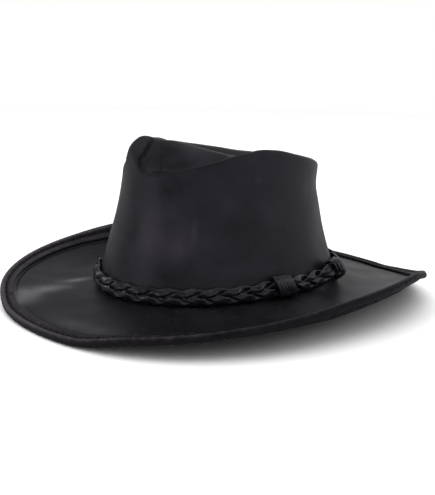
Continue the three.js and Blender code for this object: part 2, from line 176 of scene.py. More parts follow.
behind = (-np.sin(CAMERA_AZIMUTH), np.cos(CAMERA_AZIMUTH), 0)
leftward = (-np.cos(CAMERA_AZIMUTH), -np.sin(CAMERA_AZIMUTH), 0)
mirrored = ramp(sky, sky_towards(behind), BACKDROP_SPAN, (ROOM_LIGHT, BACKDROP_LIGHT))
overhead = ramp(sky, sky_towards((0, 0, 1)), OVERHEAD_SPAN, (1, OVERHEAD_SHARE))
sideways = ramp(sky, sky_towards(leftward), LEFT_SPAN, (1, LEFT_SHARE))
mirrored = sky_math("MULTIPLY", sky_math("MULTIPLY", mirrored, overhead), sideways)
fill = sky_math("ADD", sky_towards(FILL_TOWARDS), FILL_LIGHT)
direct = sky_math("MULTIPLY_ADD", seen.outputs["Is Diffuse Ray"], fill, seen.outputs["Is Camera Ray"])
sky.nodes["Background"].inputs["Color"].default_value = (1, 1, 1, 1)
sky.links.new(sky_math("MAXIMUM", mirrored, direct), sky.nodes["Background"].inputs["Strength"])


# Crown. One moulded piece of black waxed leather, pinched at the front and dented on top, with a rim
# that stands highest at the sides. Lengths here are in millimetres, angles in degrees from the front.
HEAD_HALF_WIDTH = 87
HEAD_HALF_LENGTH = 104
HEAD_SETBACK = 6.3
FOOT_HEIGHT = 16.9
FOOT_SADDLE = 1.6
FOOT_TILT = 0.8
CROWN_HEIGHT = 118.6
CROWN_LEATHER = 2
RIM_ROUNDING = 4.5
TOP_SHARE = 0.8
NOSE_SHARE = 0.025
NOSE_SPREAD = 20
NOSE_TURN = 6
NOSE_TURN_SPREAD = 40
# Height at which the wall ends, as a share of the crown's height, and how much more of it in front
WALL_TOP = 0.791
WALL_TOP_TILT = 0.037
FRONT_POWER = 1.45
BACK_POWER = 2.2
# Bulge of the wall at the back: its depth as a share, and its place and spread up the wall
BACK_BULGE = 0.08
BULGE_PLACE = 0.82
BULGE_SPREAD = 0.13
# Columns: angle, then heights at the rim, scoop, ridge and bowl as shares of the crown's height
TOP_SHAPE = np.array([
    (0, 0.93, 0.985, 0.969, 0.886),
    (6, 0.862, 0.944, 0.964, 0.886),
    (11, 0.782, 0.849, 0.956, 0.878),
    (16, 0.782, 0.8, 0.947, 0.873),
    (24, 0.803, 0.791, 0.936, 0.866),
    (36, 0.845, 0.816, 0.919, 0.853),
    (48, 0.882, 0.853, 0.902, 0.836),
    (62, 0.928, 0.899, 0.882, 0.82),
    (75, 0.94, 0.924, 0.878, 0.807),
    (88, 0.928, 0.915, 0.863, 0.795),
    (106, 0.886, 0.878, 0.828, 0.77),
    (124, 0.84, 0.836, 0.795, 0.736),
    (144, 0.787, 0.791, 0.762, 0.712),
    (180, 0.745, 0.754, 0.736, 0.696),
])
TOP_CENTRE = 0.77
# Share of the way to the centre at which the rows end and a fan to the pole begins
TOP_REACH = 0.985
RADIAL_PLACES = np.array([0, 0.12, 0.27, 0.6, 1])
# Columns: angle, and how much lower the top lies on the wearer's right
RIGHT_SAG = np.array([(0, 0), (12, 0), (35, 0.042), (60, 0.066), (90, 0.066), (130, 0.037), (180, 0)])
SAG_SHARES = np.array([1, 1, 0.9, 0.4])


def signed(angle):
    """The angle brought to between -180 and 180 degrees."""
    return (angle + 180) % 360 - 180


def bell(value, width):
    """A bell curve, 1 in the middle and falling to 1/e at the width."""
    return np.exp(-((value / width) ** 2))


def cubic(y0, m0, y1, m1, h, u):
    """The cubic from y0 to y1 over a step h, with slopes m0 and m1, at a share u of the step."""
    v = 1 - u
    return v * v * (1 + 2 * u) * y0 + u * v * v * h * m0 + u * u * (3 - 2 * u) * y1 - u * u * v * h * m1


def around(table, angle):
    """Values of a table's columns at an angle, alike on both sides of the hat. Between rows they are
    cubics, whose slope at a row is the harmonic mean of the slopes beside it, or level at a peak."""
    first = table[1] * np.array([-1] + [1] * (table.shape[1] - 1))
    last = table[-2].copy()
    last[0] = 360 - last[0]
    knots = np.vstack([first, table, last])
    x, y = knots[:, 0], knots[:, 1:]
    chord = np.diff(y, axis=0) / np.diff(x)[:, None]
    before, after = chord[:-1], chord[1:]
    total = np.where(before * after > 0, before + after, 1)
    slope = np.where(before * after > 0, 2 * before * after / total, 0)
    a = np.abs(signed(np.asarray(angle, float)))
    i = np.clip(np.searchsorted(x, a, side="right") - 1, 1, len(x) - 3)
    step = (x[i + 1] - x[i])[..., None]
    share = (a - x[i])[..., None] / step
    return cubic(y[i], slope[i - 1], y[i + 1], slope[i], step, share)


def head_point(angle, r, z):
    """Points at a distance r from the head's axis and a height z."""
    a = np.radians(angle)
    return np.stack(np.broadcast_arrays(r * np.sin(a), HEAD_SETBACK - r * np.cos(a), z), -1)


def foot_height(angle):
    """Height of the crown's foot: a saddle, tilted up towards the back."""
    a = np.radians(angle)
    return FOOT_HEIGHT - FOOT_TILT * np.cos(a) - FOOT_SADDLE * np.cos(2 * a)


def wall_radius(angle, z):
    """Outside of the wall: the head's oval, shrunk with height by a power of a sine in front and by a
    power of what is left to the top behind, where it also bulges a little before the rim."""
    a = np.radians(angle)
    oval = 1 / np.hypot(np.sin(a) / HEAD_HALF_WIDTH, np.cos(a) / HEAD_HALF_LENGTH)
    bottom = FOOT_HEIGHT - FOOT_SADDLE - FOOT_TILT
    top = FOOT_HEIGHT + CROWN_HEIGHT * (WALL_TOP + WALL_TOP_TILT * np.cos(a))
    s = np.maximum(0, (z - bottom) / (top - bottom))
    capped = np.minimum(s, 1)
    front = np.sin(np.pi / 2 * capped) ** FRONT_POWER
    back = 1 - np.maximum(0, 1 - s) ** BACK_POWER + BACK_BULGE * bell(capped - BULGE_PLACE, BULGE_SPREAD)
    lean = front + (back - front) * (1 - np.cos(a)) / 2
    top_share = TOP_SHARE + NOSE_SHARE * bell(signed(angle), NOSE_SPREAD)
    return oval * (1 - (1 - top_share) * lean)


def wall_inside(angle, z, depth=CROWN_LEATHER):
    """Radius at a depth inside the wall, square to its slope over the nearest millimetre."""
    slope = wall_radius(angle, z + 0.5) - wall_radius(angle, z - 0.5)
    return wall_radius(angle, z) - depth * np.hypot(1, slope)


def top_heights(angle):
    """Heights of the rim, scoop, ridge, bowl and centre, one row for each angle."""
    turned = angle + NOSE_TURN * bell(signed(angle), NOSE_TURN_SPREAD)
    sag = np.where(np.sin(np.radians(angle)) < 0, around(RIGHT_SAG, angle)[:, 0], 0)
    shares = around(TOP_SHAPE, turned) - sag[:, None] * SAG_SHARES
    shares = np.column_stack([shares, np.full(len(angle), TOP_CENTRE)])
    return FOOT_HEIGHT + CROWN_HEIGHT * shares


def top_surface(heights, t):
    """Heights at shares t of the way from the rim to the centre: cubics through the five lines of the
    top with averaged slopes, level at the centre."""
    chord = np.diff(heights, axis=1) / np.diff(RADIAL_PLACES)
    slope = np.column_stack([chord[:, 0], (chord[:, :-1] + chord[:, 1:]) / 2, np.zeros(len(heights))])
    i = np.clip(np.searchsorted(RADIAL_PLACES, t, side="right") - 1, 0, 3)
    rows = np.arange(len(heights))[:, None]
    step = RADIAL_PLACES[i + 1] - RADIAL_PLACES[i]
    share = (t - RADIAL_PLACES[i]) / step
    return cubic(heights[rows, i], slope[rows, i], heights[rows, i + 1], slope[rows, i + 1], step, share)


def column_angles(count, crowding=0.45):
    """Angles round the head, closer together at the nose."""
    turn = 2 * np.pi * np.arange(count) / count
    return np.degrees(turn - crowding * np.sin(turn))


def crown_outside(angle, wall_rows, rounding_rows, top_rows):
    """Grid of the outside, a column for each angle: up the wall, over the rim on a parabola and in
    across the top, nearly to the centre."""
    heights = top_heights(angle)
    rim = heights[:, :1]
    a = angle[:, None]
    rim_radius = wall_radius(a, rim)
    foot = foot_height(a)
    wall_z = foot + (rim - RIM_ROUNDING - foot) * np.linspace(0, 1, wall_rows)
    wall = head_point(a, wall_radius(a, wall_z), wall_z)
    start = RIM_ROUNDING / rim_radius
    t = start + (TOP_REACH - start) * np.linspace(0, 1, top_rows)
    top = head_point(a, rim_radius * (1 - t), top_surface(heights, t))
    corner = head_point(a, rim_radius, rim)
    q = np.linspace(0, 1, rounding_rows + 2)[1:-1, None]
    rounding = (1 - q) ** 2 * wall[:, -1:] + 2 * q * (1 - q) * corner + q ** 2 * top[:, :1]
    return np.concatenate([wall, rounding, top], axis=1)


def grid_normals(grid):
    """Unit normals of a grid that closes on itself along its first axis."""
    along = np.roll(grid, -1, 0) - np.roll(grid, 1, 0)
    across = np.gradient(grid, axis=1)
    normal = np.cross(along, across)
    return normal / np.linalg.norm(normal, axis=-1, keepdims=True)


WAVES = 6
WAVE_TURN = 2.4
WAVE_CLIMB = 0.6
WAVE_CLIMB_TURN = 1.7
WAVE_SHORTENING = 0.23
WAVE_SHIFT = 1.9


def unevenness(points, size):
    """Hand-worked leather's slow ups and downs, from -1 to 1: a sum of crossed waves about as long as
    the size, each turned, shortened and shifted by its number."""
    total = 0
    for k in range(WAVES):
        turn = WAVE_TURN * k
        climb = WAVE_CLIMB * np.cos(WAVE_CLIMB_TURN * turn)
        direction = np.array([np.cos(turn), np.sin(turn), climb]) * (1 + WAVE_SHORTENING * k) / size
        total = total + np.sin(2 * np.pi * points @ direction + WAVE_SHIFT * k)
    return total / WAVES


def leather_body(name, columns, poles=()):
    """A closed smooth mesh from columns of points in millimetres: quads between neighbouring columns
    and rows, closed along the rows too, or with a fan to a pole at each end. Its UV map holds the share
    of the way round the hat and the share of the way along a column."""
    count, rows = columns.shape[:2]
    points = np.concatenate([columns.reshape(-1, 3), np.reshape(poles, (-1, 3))]) / 1000
    last = rows - 1 if len(poles) else rows
    j, i = np.meshgrid(np.arange(count), np.arange(last), indexing="ij")
    k, n = (j + 1) % count, (i + 1) % rows
    quads = np.stack([j * rows + i, k * rows + i, k * rows + n, j * rows + n], -1).reshape(-1, 4)
    u = np.stack([j, j + 1, j + 1, j], -1).reshape(-1, 4) / count
    v = np.stack([i, i, i + 1, i + 1], -1).reshape(-1, 4) / rows
    a, b, c, d = (points[quads[:, m]] for m in range(4))
    volume = np.einsum("ij,ij", a, np.cross(b, c)) + np.einsum("ij,ij", a, np.cross(c, d))
    faces = quads.tolist()
    uv = [np.stack([u, v], -1).reshape(-1, 2)]
    if len(poles):
        ring = np.arange(count)
        following = (ring + 1) % count
        first = np.stack([following * rows, ring * rows, np.full(count, count * rows)], -1)
        final = np.stack([ring * rows + rows - 1, following * rows + rows - 1,
                          np.full(count, count * rows + 1)], -1)
        faces += first.tolist() + final.tolist()
        uv.append(np.zeros((6 * count, 2)))
    if volume < 0:
        faces = [face[::-1] for face in faces]
        uv[0] = uv[0].reshape(-1, 4, 2)[:, ::-1].reshape(-1, 2)
    mesh = bpy.data.meshes.new(name)
    mesh.from_pydata(points.tolist(), [], faces)
    mesh.polygons.foreach_set("use_smooth", np.ones(len(faces), bool))
    layer = mesh.uv_layers.new(name="surface")
    layer.data.foreach_set("uv", np.concatenate(uv).ravel())
    body = bpy.data.objects.new(name, mesh)
    bpy.context.scene.collection.objects.link(body)
    return body


def mask_on(body, name, values):
    """Stores one value for each vertex, for the material to read by that name."""
    attribute = body.data.attributes.new(name, "FLOAT", "POINT")
    attribute.data.foreach_set("value", np.asarray(values, np.float32).ravel())


# Noise counts are in waves to the metre, spans are the noise's values that become 0 and 1
PATCH_SPAN = (0.3, 0.7)
FINE_GRAIN = 1500
FINE_GRAIN_SHARE = 0.4
CELL_SMOOTHNESS = 0.6
SCUFF_BEND = 40
SCUFF_BEND_LENGTH = (0.03, 0.03, 0.03)
SCUFFS = 130
SCUFF_SPAN = (0.62, 0.78)


def skin_group():
    """Leather skin as a node group. Patches are soft clouds, Grain is a field of small rounded cells
    with finer noise on it, and Scuffs are thin marks stretched and bent by noise."""
    group = bpy.data.node_groups.new("leather skin", "ShaderNodeTree")
    for name, value in (("Patch Size", 0.03), ("Grain Size", 0.0012)):
        socket = group.interface.new_socket(name=name, in_out="INPUT", socket_type="NodeSocketFloat")
        socket.default_value = value
    for name in ("Patches", "Grain", "Scuffs"):
        group.interface.new_socket(name=name, in_out="OUTPUT", socket_type="NodeSocketFloat")
    given = group.nodes.new("NodeGroupInput")
    result = group.nodes.new("NodeGroupOutput")
    where = add_node(group, "TexCoord", {}, {}).outputs["Object"]

    def count_of(size):
        share = add_node(group, "Math", dict(operation="DIVIDE"), {0: 1, 1: given.outputs[size]})
        return share.outputs["Value"]

    patches = add_node(group, "TexNoise", {}, {
        "Vector": where, "Scale": count_of("Patch Size"), "Detail": 3, "Roughness": 0.55})
    group.links.new(ramp(group, patches.outputs["Fac"], PATCH_SPAN, (0, 1)), result.inputs["Patches"])

    cells = add_node(group, "TexVoronoi", dict(feature="SMOOTH_F1"), {
        "Vector": where, "Scale": count_of("Grain Size"), "Smoothness": CELL_SMOOTHNESS})
    fine = add_node(group, "TexNoise", {}, {"Vector": where, "Scale": FINE_GRAIN, "Detail": 2})
    grain = add_node(group, "Mix", {}, {
        "Factor": FINE_GRAIN_SHARE, "A": cells.outputs["Distance"], "B": fine.outputs["Fac"]})
    group.links.new(grain.outputs["Result"], result.inputs["Grain"])

    bend = add_node(group, "TexNoise", {}, {"Vector": where, "Scale": SCUFF_BEND})
    bent = add_node(group, "VectorMath", dict(operation="MULTIPLY_ADD"), {
        0: bend.outputs["Color"], 1: SCUFF_BEND_LENGTH, 2: where})
    scratches = add_node(group, "TexNoise", {}, {
        "Vector": bent.outputs["Vector"], "Scale": SCUFFS, "Detail": 4, "Roughness": 0.7})
    group.links.new(ramp(group, scratches.outputs["Fac"], SCUFF_SPAN, (0, 1)), result.inputs["Scuffs"])
    return group


skin = skin_group()
LEATHER_SHEEN = (0.88, 0.84, 1, 1)
# Least share of the painted light that shows, between the skin's patches
PAINTED_LIGHT_FLOOR = 0.4


def leather(name, dark, pale, smooth, rough, patch, grain, depth, marked, wear_and_highlight=(0.026, 0.022, 0.029),
            mirror=0.5):
    """Leather: a colour between dark and pale and a roughness between smooth and rough, both by the
    skin's patches, and a bump of the skin's grain. A pale colour shows as wear on the skin's scuffs, by a
    share, and as painted highlights where the mesh's mask of painted light says so."""
    finish = bpy.data.materials.new(name)
    finish.use_nodes = True
    tree = finish.node_tree
    shader = tree.nodes["Principled BSDF"]
    shader.inputs["Specular Tint"].default_value = LEATHER_SHEEN
    shader.inputs["Specular IOR Level"].default_value = mirror
    surface = add_node(tree, "Group", dict(node_tree=skin), {"Patch Size": patch, "Grain Size": grain})
    patches = surface.outputs["Patches"]
    colour = add_node(tree, "Mix", dict(data_type="RGBA"), {
        "Factor": patches, "A": (*dark, 1), "B": (*pale, 1)})
    # Painted light: the mesh's mask mixes the pale colour in as painted highlights, mottled by the skin's
    # patches.
    painted_light_mask = add_node(tree, "Attribute", dict(attribute_name="painted_light"), {})
    painted_light_share = add_node(tree, "Math", dict(operation="MULTIPLY"), {
        0: painted_light_mask.outputs["Fac"], 1: ramp(tree, patches, (0, 1), (PAINTED_LIGHT_FLOOR, 1))})
    wear_and_light = add_node(tree, "Math", dict(operation="MULTIPLY_ADD", use_clamp=True), {
        0: surface.outputs["Scuffs"], 1: marked, 2: painted_light_share.outputs["Value"]})
    painted_light = add_node(tree, "Mix", dict(data_type="RGBA"), {
        "Factor": wear_and_light.outputs["Value"], "A": colour.outputs["Result"], "B": (*wear_and_highlight, 1)})
    bump = add_node(tree, "Bump", {}, {
        "Height": surface.outputs["Grain"], "Distance": depth, "Strength": 1})
    tree.links.new(painted_light.outputs["Result"], shader.inputs["Base Color"])
    tree.links.new(ramp(tree, patches, (0, 1), (smooth, rough)), shader.inputs["Roughness"])
    tree.links.new(bump.outputs["Normal"], shader.inputs["Normal"])
    return finish


CROWN_COLUMNS = 480
# The crown's unevenness: its height, its length, and where above the foot it starts and how it eases in
CROWN_WAVES = 0.35
CROWN_WAVE_LENGTH = 55
WAVES_START = 6
WAVES_EASE = 12
LINING_STEP = 5
CREASE_WIDTH = 1.25
CREASE_STEPS = 90
# Angle in the middle of both creases, and how far beside it they are looked for
CREASE_MIDDLE = 5
CREASE_REACH = 40
# Columns: angle, share of the way in from the rim, and depth in millimetres, along each crease
NOSE_CREASE = np.array([
    (5.5, 0.012, 0.6), (3, 0.008, 2.4), (1.4, 0.02, 3.3), (1.9, 0.06, 3.5), (1.7, 0.112, 3.5),
    (0.8, 0.147, 3.2), (-0.5, 0.177, 2.5), (-3.5, 0.185, 0.8),
])
FACET_CREASE = np.array([(1, 0.26, 0.2), (4, 0.22, 0.4), (7, 0.18, 0.5), (10, 0.126, 0.5), (14, 0.05, 0.2)])
# Columns: angle, height, spread in degrees and in millimetres, and strength of each painted highlight
CROWN_HIGHLIGHTS = np.array([
    (22, 60, 13, 13, 0.7), (12.6, 67, 5, 16, 0.55), (30, 54, 5, 12, 0.6), (36, 70, 1.6, 9, 0.7),
    (-5.6, 78, 7, 30, 0.6), (25, 84, 14, 9, 0.35), (72, 106, 1.8, 3, 0.9), (116, 94, 3, 7, 0.7),
    (64, 41, 22, 5, 0.4), (27, 122, 11, 8, 0.9),
])
crown_angles = column_angles(CROWN_COLUMNS)
crown_shell = crown_outside(crown_angles, wall_rows=70, rounding_rows=8, top_rows=90)
crown_normals = grid_normals(crown_shell)


def creased(grid, normals, crease):
    """Grid pressed in along a crease: at each point by the depth of the nearest point of the crease,
    times a bell of the distance to it."""
    angle, way, depth = (
        np.interp(np.linspace(0, 1, CREASE_STEPS), np.linspace(0, 1, len(crease)), column)
        for column in crease.T)
    heights = top_heights(angle)
    angle, way = angle[:, None], way[:, None]
    line_radius = wall_radius(angle, heights[:, :1]) * (1 - way)
    line = head_point(angle, line_radius, top_surface(heights, way))[:, 0]
    near = np.abs(signed(crown_angles - CREASE_MIDDLE)) < CREASE_REACH
    away = np.linalg.norm(grid[near][:, :, None] - line, axis=-1)
    nearest = away.argmin(-1)
    pressed = grid.copy()
    pressed[near] -= normals[near] * (depth[nearest] * bell(away.min(-1), CREASE_WIDTH))[..., None]
    return pressed


fade = np.clip((crown_shell[..., 2:] - FOOT_HEIGHT - WAVES_START) / WAVES_EASE, 0, 1)
waves = unevenness(crown_shell, CROWN_WAVE_LENGTH)[..., None]
crown_shell = crown_shell + crown_normals * (CROWN_WAVES * fade * waves)
crown_shell = creased(crown_shell, crown_normals, NOSE_CREASE)
crown_shell = creased(crown_shell, crown_normals, FACET_CREASE)
inner_rows = np.r_[0, np.arange(LINING_STEP - 1, crown_shell.shape[1], LINING_STEP)]
crown_lining = (crown_shell - CROWN_LEATHER * crown_normals)[:, inner_rows]
crown_foot = foot_height(crown_angles)
crown_lining[:, 0] = head_point(crown_angles, wall_inside(crown_angles, crown_foot), crown_foot)
apex = head_point(0, 0, FOOT_HEIGHT + CROWN_HEIGHT * TOP_CENTRE)
crown = leather_body(
    "crown_leather_shell",
    np.concatenate([crown_shell[:, ::-1], crown_lining], axis=1),
    poles=(apex, apex - (0, 0, CROWN_LEATHER)),
)
# Painted highlights: the places above are painted in the pale colour on the wall and top, by the mesh's
# mask.
shell_heights = crown_shell[:, ::-1, 2]
places = [strength * bell(signed(crown_angles - angle)[:, None], spread) * bell(shell_heights - height, tall)
          for angle, height, spread, tall, strength in CROWN_HIGHLIGHTS]
crown_painted_light = np.concatenate([np.sum(places, axis=0), np.zeros(crown_lining.shape[:2])], axis=1)
mask_on(crown, "painted_light", np.r_[crown_painted_light.ravel(), 0, 0])
crown.data.materials.append(leather(
    "black crown leather", dark=(0.004, 0.0038, 0.0047), pale=(0.0155, 0.0149, 0.0181),
    smooth=0.36, rough=0.52, patch=0.03, grain=0.0011, depth=0.00011, marked=0.3,
    wear_and_highlight=(0.034, 0.03, 0.038)))
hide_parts("crown")
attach(crown, "root")


# Brim. One oval sheet of thicker leather, nearly flat at the front and back and curled up along the
# sides. It turns up inside the crown's foot as a collar, where it is sewn.
BRIM_HALF_WIDTH = 153.6
BRIM_HALF_LENGTH = 172
BRIM_LEATHER = 2.4
SIDE_LIFT = 30.1
COLLAR_HEIGHT = 12
BRIM_FALL = -0.14
FRONT_CORNERS = 2.235
BACK_CORNERS = 2.395
BINDING_WIDTH = 11
BINDING_LEATHER = 1.4
PIECE_GAP = 0.3
# Length over which the brim's slope is taken
SLOPE_STEP = 0.5
# Columns: angle, the edge's lift as a share of the side lift, and its slope up to the outside
EDGE_SHAPE = np.array([
    (0, 0, -7),
    (14.5, 0.028, -8),
    (29, 0.275, 0),
    (43, 0.435, 11),
    (57, 0.585, 21),
    (73, 0.735, 31),
    (90, 0.892, 43),
    (119, 1, 41),
    (137, 0.657, 23),
    (150, 0.3, 10),
    (161, 0.09, 0),
    (169, 0, -5),
    (180, 0, -5),
])


def brim_edge(angle):
    """Edge of the brim in plan: two half superellipses that meet at the sides."""
    a = np.radians(angle)
    power = np.where(np.cos(a) > 0, FRONT_CORNERS, BACK_CORNERS)
    across = np.abs(np.sin(a) / BRIM_HALF_WIDTH) ** power
    along = np.abs(np.cos(a) / BRIM_HALF_LENGTH) ** power
    r = (across + along) ** (-1 / power)
    return np.stack([r * np.sin(a), -r * np.cos(a)], -1)


def brim_run(angle):
    """Distance in plan from the crown's foot to the brim's edge."""
    foot = foot_height(angle)
    ring = head_point(angle, wall_radius(angle, foot), foot)[..., :2]
    return np.linalg.norm(brim_edge(angle) - ring, axis=-1)


def brim_height(angle, inset):
    """Middle of the leather: straight through the bound edge, then a cubic in to the crown's foot."""
    start = foot_height(angle) - PIECE_GAP - BRIM_LEATHER / 2
    lift, slope = np.moveaxis(around(EDGE_SHAPE, angle), -1, 0)
    slope = np.tan(np.radians(slope))
    edge = BRIM_LEATHER / 2 + PIECE_GAP + BINDING_LEATHER + SIDE_LIFT * lift
    reach = brim_run(angle) - BINDING_WIDTH
    share = (brim_run(angle) - inset) / reach
    inside = cubic(start, BRIM_FALL, edge - slope * BINDING_WIDTH, slope, reach, share)
    return np.where(inset < BINDING_WIDTH, edge - slope * inset, inside)


def brim_point(angle, inset, offset):
    """Points at an inset from the edge, offset from the middle of the leather and square to it."""
    foot = foot_height(angle)
    ring = head_point(angle, wall_radius(angle, foot), foot)[..., :2]
    edge = brim_edge(angle)
    outward = (edge - ring) / np.linalg.norm(edge - ring, axis=-1, keepdims=True)
    fall = brim_height(angle, inset - SLOPE_STEP / 2) - brim_height(angle, inset + SLOPE_STEP / 2)
    length = np.hypot(fall, SLOPE_STEP)
    plan = edge - outward * (inset + offset * fall / length)[..., None]
    return np.concatenate([plan, (brim_height(angle, inset) + offset * SLOPE_STEP / length)[..., None]], -1)


BRIM_COLUMNS = 480
BRIM_WAVES = 0.3
BRIM_WAVE_LENGTH = 60
# Groove that the binding presses into the brim beside its inner edge
GROOVE_DEPTH = 0.9
GROOVE_WIDTH = 1.4
GROOVE_INSET = 1.2
# Rows along the brim's top, as shares of the way from the binding to the crown: wide ones down to the
# first share, then close ones from the second
WIDE_ROWS = 60
WIDE_ROWS_END = 0.12
CLOSE_ROWS = 16
CLOSE_ROWS_START = 0.11
BEND_ROWS = 7
# Columns: angle, inset from the edge, spread in degrees and in millimetres, and strength, of each
# painted highlight: a pale streak of colour on the brim's top
BRIM_HIGHLIGHTS = np.array([
    (-21.5, 18, 5, 13, 0.9), (-24, 40, 3.6, 14, 0.9), (-31, 60, 2.4, 12, 1), (9, 22, 11, 7, 0.25),
    (130, 34, 11, 26, 0.3), (205, 40, 3, 40, 0.4), (150, 26, 6, 20, 0.2), (250, 30, 6, 26, 0.3),
])
brim_angles = column_angles(BRIM_COLUMNS, crowding=0)[:, None]
share = np.r_[np.linspace(1, WIDE_ROWS_END, WIDE_ROWS), np.linspace(CLOSE_ROWS_START, 0, CLOSE_ROWS)]
insets = BINDING_WIDTH + share * (brim_run(brim_angles) - BINDING_WIDTH)
insets = np.concatenate([insets, np.full((BRIM_COLUMNS, 1), BINDING_LEATHER + PIECE_GAP)], axis=1)
middle = np.sin(np.pi * np.clip(np.r_[share, 0], 0, 1)) ** 0.5
brim_top = brim_point(brim_angles, insets, BRIM_LEATHER / 2)
brim_top[..., 2] += BRIM_WAVES * middle * unevenness(brim_top, BRIM_WAVE_LENGTH)
brim_top[..., 2] -= GROOVE_DEPTH * bell(insets - BINDING_WIDTH - GROOVE_INSET, GROOVE_WIDTH)
brim_under = brim_point(brim_angles, insets, -BRIM_LEATHER / 2)[:, ::-1]
foot = foot_height(brim_angles)
collar_top = foot + COLLAR_HEIGHT
collar_outside = CROWN_LEATHER + PIECE_GAP
collar_inside = collar_outside + BRIM_LEATHER
bend = np.linspace(0, np.pi / 2, BEND_ROWS)
bend_radius = wall_inside(brim_angles, foot, collar_inside) + BRIM_LEATHER * (1 - np.sin(bend))
bend_height = foot - PIECE_GAP - BRIM_LEATHER * np.cos(bend)
brim_collar = np.concatenate([
    head_point(brim_angles, wall_inside(brim_angles, collar_top, collar_inside), collar_top),
    head_point(brim_angles, wall_inside(brim_angles, collar_top, collar_outside), collar_top),
    head_point(brim_angles, wall_inside(brim_angles, foot, collar_outside), foot - PIECE_GAP),
], axis=1)
brim_section = np.concatenate([
    brim_collar, brim_top, brim_under, head_point(brim_angles, bend_radius, bend_height)], axis=1)
brim = leather_body("brim_leather_sheet", brim_section)
# Painted highlights: the streaks above are painted on the brim's top in the pale colour, which also marks
# the scuffs' wear.
brim_painted_light = np.zeros(brim_section.shape[:2])
first_row = brim_collar.shape[1]
brim_painted_light[:, first_row:first_row + insets.shape[1]] = np.sum([
    strength * bell(signed(brim_angles - angle), spread) * bell(insets - inset, reach)
    for angle, inset, spread, reach, strength in BRIM_HIGHLIGHTS], axis=0)
mask_on(brim, "painted_light", brim_painted_light)
brim.data.materials.append(leather(
    "black brim leather", dark=(0.0078, 0.0074, 0.0094), pale=(0.0135, 0.0128, 0.0162),
    smooth=0.32, rough=0.46, patch=0.024, grain=0.0011, depth=0.00013, marked=0.3,
    wear_and_highlight=(0.13, 0.125, 0.135), mirror=0.31))
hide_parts("brim")
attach(brim, "root")


# Binding. A strip of thinner leather folded over the brim's edge and sewn through all layers, so that
# a stitched valley lies between an outer and an inner roll. The edge is a little lumpy and scuffed, with a
# painted highlight along its flanks and outer roll and painted shade left in the stitched valley.
STITCH_PITCH = 6.5
STITCH_INSET = 5.2
VALLEY_DEPTH = 1.15
VALLEY_WIDTH = 1.35
# Dent at each stitch: its depth, its width across, and a power that shortens it along the edge
DENT_DEPTH = 0.5
DENT_WIDTH = 1.9
DENT_SHARPNESS = 8
# Lumps: their height, their length, and the lengths over which they wander and fade
LUMPS = 0.2
LUMP_LENGTH = 3.7
LUMP_WANDER = 17
LUMP_FADE = 5.3
# Thinner inner edge of the strip
CUT_DEPTH = 0.7
CUT_WIDTH = 1.2
ROLL_INSET = 2
ROLL_HIGHLIGHT_WIDTH = 1
LEAST_HEIGHT = 0.05
BINDING_COLUMNS = 1300
FLANK_ROWS = 16
ROLL_ROWS = 9
# Shares of the painted highlight beside the valley and all round, then strength, angle and spread where it
# is more
FLANK_HIGHLIGHT = 0.35
VALLEY_SHADE_WIDTH = 1.6
ROUND_HIGHLIGHT = 0.5
MORE_HIGHLIGHT = [(1.9, -40, 45), (1.3, 125, 35)]


def binding_thickness(inset, along):
    """Height of the binding's skin above the brim's middle: its full thickness, less a bell for the sewn
    valley and one for each stitch's dent, with waves for the lumps, thinned at the inner edge."""
    full = BRIM_LEATHER / 2 + PIECE_GAP + BINDING_LEATHER
    valley = VALLEY_DEPTH * bell(inset - STITCH_INSET, VALLEY_WIDTH)
    stitch = np.cos(np.pi * along / STITCH_PITCH) ** DENT_SHARPNESS
    dent = DENT_DEPTH * bell(inset - STITCH_INSET, DENT_WIDTH) * stitch
    wander = 2 * np.sin(along / LUMP_WANDER)
    lumps = LUMPS * np.sin(2 * np.pi * along / LUMP_LENGTH + wander) * np.sin(along / LUMP_FADE)
    cut = CUT_DEPTH * np.clip((inset - BINDING_WIDTH + CUT_WIDTH) / CUT_WIDTH, 0, 1) ** 2
    return full - valley - dent + lumps - cut


def path_lengths(points):
    """Length along a closed line of points, up to each of them, and its whole length."""
    steps = np.linalg.norm(np.roll(points, -1, 0) - points, axis=-1)
    return np.r_[0, np.cumsum(steps)[:-1]], steps.sum()


edge_angles = column_angles(BINDING_COLUMNS, crowding=0)[:, None]
edge_lengths, edge_total = path_lengths(brim_point(edge_angles, STITCH_INSET + 0 * edge_angles, 0)[:, 0])
stitches = round(edge_total / STITCH_PITCH)
along = (edge_lengths * (stitches * STITCH_PITCH / edge_total))[:, None]
flank = np.linspace(BINDING_WIDTH, ROLL_INSET, FLANK_ROWS)
roll = np.linspace(0, np.pi, ROLL_ROWS + 2)[1:-1]
over = binding_thickness(flank, along)
under = binding_thickness(flank[::-1], along + STITCH_PITCH / 3)
ends = (over[:, -1:] + under[:, :1]) / 2
channel = BRIM_LEATHER / 2 + PIECE_GAP
channel_insets = [BINDING_WIDTH, BINDING_LEATHER, BINDING_LEATHER, BINDING_WIDTH]
channel_offsets = np.broadcast_to([-channel, -channel, channel, channel], (BINDING_COLUMNS, 4))
section_insets = np.concatenate([flank, ROLL_INSET * (1 - np.sin(roll)), flank[::-1], channel_insets])
section_offsets = np.concatenate([over, ends * np.cos(roll), -under, channel_offsets], axis=1)
binding_points = brim_point(edge_angles, section_insets + 0 * edge_angles, section_offsets)
binding_points[..., 2] = np.maximum(binding_points[..., 2], LEAST_HEIGHT)
binding = leather_body("brim_binding_strip", binding_points)
